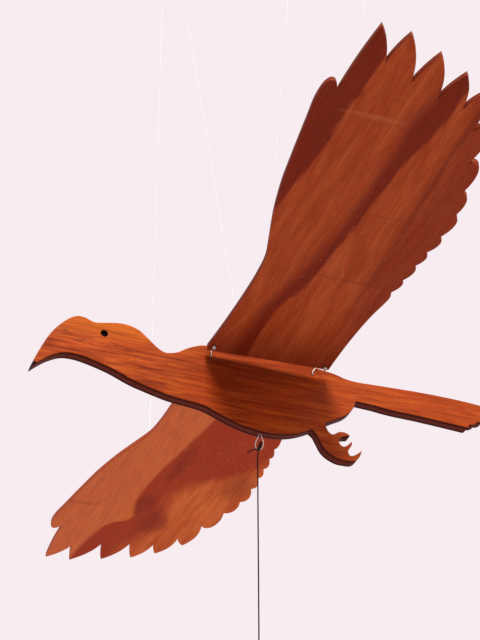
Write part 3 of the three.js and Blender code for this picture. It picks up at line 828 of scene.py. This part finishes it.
def edge_room(points, normals, rounding):
    """How much of an edge can be rounded off at each point: less where the board is narrow."""
    count = len(points)
    sides = [(points[j], points[(j + 1) % count] - points[j]) for j in range(count)]
    room = []
    for i, (here, normal) in enumerate(zip(points, normals)):
        width = WIDE
        for j, (start, run) in enumerate(sides):
            cross = normal.x * run.y - normal.y * run.x
            if j == i or (j + 1) % count == i or abs(cross) < 1e-9:
                continue
            gap = start - here
            reach = (gap.x * run.y - gap.y * run.x) / cross
            along = (gap.x * normal.y - gap.y * normal.x) / cross
            if 1e-6 < reach < width and 0 <= along <= 1:
                width = reach
        room.append(min(rounding, NARROW_SHARE * width))
    for _ in range(2):
        for order in (range(count), reversed(range(count))):
            for i in order:
                for j in (i - 1, (i + 1) % count):
                    slope = ROUNDING_SLOPE * (points[i] - points[j]).length
                    room[i] = min(room[i], room[j] + slope)
    return room


def circle_points(centre, radius, count=28):
    x, y = centre
    turns = (2 * math.pi * i / count for i in range(count))
    return [Vector((x + radius * math.cos(a), y + radius * math.sin(a))) for a in turns]


def mesh_object(name, mesh, materials):
    """The piece that a finished bmesh makes."""
    bmesh.ops.recalc_face_normals(mesh, faces=mesh.faces)
    data = bpy.data.meshes.new(name)
    mesh.to_mesh(data)
    mesh.free()
    for material in materials:
        data.materials.append(material)
    return add_object(name, data)


def board_mesh(name, points, thickness, rounding, place, materials, bore):
    """A flat board with rounded edges; place() maps (across, along, height) to the row frame.
    The faces and rims take the first material, the sawn edges and the holes the second. Each
    hole has a centre, a radius and the height of its floor, 0 where it goes right through."""
    normals = side_normals(points)
    room = edge_room(points, normals, rounding)
    turns = [math.pi / 2 * step / ROUNDING_STEPS for step in range(ROUNDING_STEPS + 1)]
    lower = [(1 - math.sin(a), rounding * (1 - math.cos(a))) for a in turns]
    layers = lower + [(share, thickness - height) for share, height in reversed(lower)]
    mesh = bmesh.new()
    rows = [
        [mesh.verts.new(place(*(p + n * (r * share)), height))
         for p, n, r in zip(points, normals, room)]
        for share, height in layers
    ]
    rim = [p + n * r for p, n, r in zip(points, normals, room)]
    bores = []
    for centre, radius, base in bore:
        ring = circle_points(centre, radius)
        walls = [[mesh.verts.new(place(*p, height)) for p in ring] for height in (base, thickness)]
        bores.append((ring, base, walls))
    for tube in [rows, *(walls for _, _, walls in bores)]:
        for level, (low, high) in enumerate(zip(tube, tube[1:])):
            for i, vert in enumerate(low):
                j = (i + 1) % len(low)
                face = mesh.faces.new((vert, low[j], high[j], high[i]))
                face.material_index = 0 if tube is rows and level != ROUNDING_STEPS else 1
                face.smooth = True
    for end in (0, -1):
        cut = [(ring, walls) for ring, base, walls in bores if end == -1 or base == 0]
        verts = [vert for tube in [rows, *(walls for _, walls in cut)] for vert in tube[end]]
        loops = [[p.to_3d() for p in ring] for ring in (rim, *(ring for ring, _ in cut))]
        for corners in tessellate_polygon(loops):
            mesh.faces.new([verts[k] for k in corners])
    for _, base, walls in bores:
        if base > 0:
            mesh.faces.new(walls[0]).material_index = 1
    return mesh_object(name, mesh, materials)


def on_board(x, z, height):
    return metres(x, BOARD / 2 - height, z)


body = board_mesh(
    "bird_board", thinned(body_outline()), BOARD, BOARD_ROUNDING, on_board,
    [face_wood, edge_wood],
    [(BIRD_EYE, BIRD_EYE_R, 0), *(((x, z), TIE_BODY_HOLE_R, 0) for x, z, _ in TIES.values())],
)
dress(body, ["bird_body"], "bird")

for hand, side in SIDES.items():
    def on_wing_board(u, v, height, side=side):
        return metres(*on_wing(side, u, v, height))

    wing = board_mesh(
        f"{hand}_wing_board", thinned(wing_outline()), WING_BOARD, WING_ROUNDING, on_wing_board,
        [left_wing_wood, left_wing_edge] if side < 0 else [right_wing_wood_painted_paler, right_wing_edge_painted_paler],
        [*(((u, HINGE_V), TIE_WING_HOLE_R, 0) for _, _, u in TIES.values()),
         *(((u, HANG_V), LINE_HOLE_R, LINE_HOLE_FLOOR) for u in HANG_U.values())],
    )
    dress(wing, [f"wing_{hand}"], f"wing_{hand[0]}")

# ---------------------------------------------------------------- ties and pull cord

for end, (body_x, body_z, wing_u) in TIES.items():
    face = BOARD / 2
    hole = on_wing(1, wing_u, HINGE_V, WING_BOARD / 2)
    over = hole.z + WING_BOARD / 2 + TIE_BOW
    middle_x = (body_x + wing_u) / 2
    half = [
        (body_x, face * 0.5, body_z), (body_x, face + 0.15, body_z),
        (body_x, face + 0.95, body_z + 0.8), (body_x, face + 1.15, body_z + 2.6),
        (middle_x, face + 1.6, over - 1.6), (middle_x, face + 3.2, over - 0.2),
        (wing_u, hole.y - 3.2, over), (wing_u, hole.y - 1.2, over - 0.55),
        (wing_u, hole.y - TIE_LEAN, hole.z + WING_BOARD / 2),
        (wing_u, hole.y + TIE_LEAN, hole.z - TIE_KNOT_DROP + 1),
    ]
    route = [Vector((x, -y, z)) for x, y, z in reversed(half)] + [Vector(p) for p in half]
    tie = line_object(f"clear_tie_{end}", catmull(route, 8), TIE_R, nylon)
    dress(tie, [f"hinge_tie_{end}"], "bird")
    for hand, side in SIDES.items():
        centre = Vector((wing_u, side * (hole.y + TIE_LEAN), hole.z - TIE_KNOT_DROP))
        tie_knot = round_knot(f"small_tie_knot_{hand}_{end}", centre, UP, TIE_KNOT_R,
                              turns=4, strand=TIE_R)
        dress(tie_knot, [f"tie_knot_{hand}_{end}"], "bird")

loop_route = [Vector(p) for p in (
    (46, 0, -48.9), (46.55, 0, -50.4), (46.6, 0, -53.5), (47.6, 0.3, -57), (48.9, 0.9, -61),
    (48, 1.9, -64.6), (45.4, 2.35, -66), (42.9, 1.9, -64.2), (42.9, 0.9, -60.8),
    (44.5, 0.3, -57), (45.4, 0, -53.5), (45.45, 0, -50.4))]
belly_loop = line_object(
    "clear_belly_loop", catmull(loop_route, 8, True), TIE_R, nylon, closed=True)
dress(belly_loop, ["belly_loop"], "bird")

cord_knot = knot("dark_cord_knot", Vector((46.9, 0, -60.2)), Vector((44.3, 0, -68.9)),
                 radius=1.35, turns=9, strand=0.5, material=thread)
dress(cord_knot, ["cord_knot"], "bird")
stray = [Vector((x, 0.4 * i, z)) for i, (x, z) in enumerate(
    ((44.4, -67.3), (40.6, -68.2), (38, -69.6), (36.4, -71.2)))]
stray_end = wound("dark_stray_end", catmull(stray, 6), PLIES, PLY_PITCH, winding=0.26,
                  strand=0.28, swell=0.0, material=thread)
dress(stray_end, ["cord_stray_end"], "bird")
bead_low = Vector((CORD_X, 0, BEAD_TOP - BEAD_LENGTH - 0.3))
bead_knot = knot("dark_bead_knot", bead_low, bead_low - UP * (2 * BEAD_KNOT_R),
                 radius=BEAD_KNOT_R, turns=4, strand=0.55, material=thread)
dress(bead_knot, ["bead_knot"], "bird")


def turned(name, profile, centre, axis, material, segments=72):
    """A piece turned on a lathe: the profile gives (radius, place along the axis)."""
    mesh = bmesh.new()
    side = axis.orthogonal().normalized()
    across = axis.cross(side)
    turns = [2 * math.pi * k / segments for k in range(segments)]
    rings = []
    for radius, place in profile:
        middle = centre + axis * place
        spokes = [(side * math.cos(a) + across * math.sin(a)) * radius
                  for a in (turns if radius else turns[:1])]
        rings.append([mesh.verts.new(metres(*(middle + spoke))) for spoke in spokes])
    bored = profile[0][0] > 0
    for low, high in zip(rings, rings[1:] + rings[:1] if bored else rings[1:]):
        for i in range(segments):
            j = (i + 1) % segments
            corners = [
                ring[k % len(ring)] for ring, k in ((low, i), (low, j), (high, j), (high, i))]
            face = mesh.faces.new(list(dict.fromkeys(corners)))
            face.smooth = True
    return mesh_object(name, mesh, [material])


bead_profile = [(BEAD_BORE_R, 0.4)]
for i in range(49):
    a = i / 48 * math.pi
    swell = math.sin(a) * (1 - 0.18 * math.cos(a))
    ring_cut = sum(0.32 * math.exp(-((a - groove) / 0.035) ** 2) for groove in BEAD_GROOVES)
    bead_profile.append((2.1 + 7.85 * swell - ring_cut, BEAD_LENGTH / 2 * (1 - math.cos(a))))
bead_profile.append((BEAD_BORE_R, BEAD_LENGTH - 0.4))
bead = turned("turned_pull_bead", bead_profile, Vector((CORD_X, 0, BEAD_TOP - BEAD_LENGTH)), UP,
              bead_wood)
dress(bead, ["pull_bead"], "bird")

dress(pull_cord, ["pull_cord"], "bird")

# ---------------------------------------------------------------- crossbar and eye

half_bar = BAR_LENGTH / 2
quarter = [math.pi / 2 * i / 6 for i in range(7)]
end_round = [(BAR_R - BAR_ROUNDING + math.sin(a), -half_bar + BAR_ROUNDING - math.cos(a))
             for a in quarter]
bar_profile = [(0, -half_bar), *end_round, *((r, -place) for r, place in reversed(end_round)),
               (0, half_bar)]
bar = turned("turned_crossbar", bar_profile, Vector((BAR_X, 0, BAR_Z)), Vector((0, 1, 0)),
             bar_wood)
dress(bar, ["crossbar"], "hanger")

ring_z = BAR_Z + BAR_R + EYE_NECK + EYE_R
wire = [Vector((BAR_X, 0, BAR_Z + rise)) for rise in (-0.9, 1.5, BAR_R, BAR_R + 1.6)]
for i in range(25):
    a = math.radians(-80 + 335 * i / 24)
    lean = 0.3 * (i / 24 - 0.5)
    wire.append(Vector((BAR_X + EYE_R * math.cos(a), lean, ring_z + EYE_R * math.sin(a))))
eye = line_object("wire_eye", catmull(wire, 5), EYE_WIRE_R, brass)
dress(eye, ["hanging_eye"], "hanger")

# ---------------------------------------------------------------- room and light

scene = bpy.context.scene
scene.view_settings.view_transform = "Standard"
scene.world = bpy.data.worlds.new("room")
scene.world.use_nodes = True
surround = scene.world.node_tree.nodes["Background"].inputs
surround["Color"].default_value = rgb(248, 236, 240)
surround["Strength"].default_value = 1.0

floor_mesh = bpy.data.meshes.new("floor")
floor_mesh.from_pydata([
    (x * FLOOR_REACH, y * FLOOR_REACH, FLOOR_Z) for x, y in ((-1, -1), (1, -1), (1, 1), (-1, 1))
], [], [(0, 1, 2, 3)])
floor_mesh.materials.append(pale_floor())
add_object("floor", floor_mesh)


def softbox(name, place, size, watts, glint=True):
    """A rectangular light turned toward the bird."""
    lamp = bpy.data.lights.new(name, "AREA")
    lamp.shape = "RECTANGLE"
    lamp.size, lamp.size_y = size
    lamp.energy = watts
    holder = add_object(name, lamp)
    holder.location = place
    aim = BIRD_PLACE - Vector(place)
    holder.rotation_euler = aim.to_track_quat("-Z", "Y").to_euler()
    holder.visible_glossy = glint


softbox("key_light", (-0.28, -1.55, 0.74), size=(0.65, 0.5), watts=78)
softbox("side_light", (1.6, -1.35, 0.05), size=(0.8, 0.8), watts=26, glint=False)
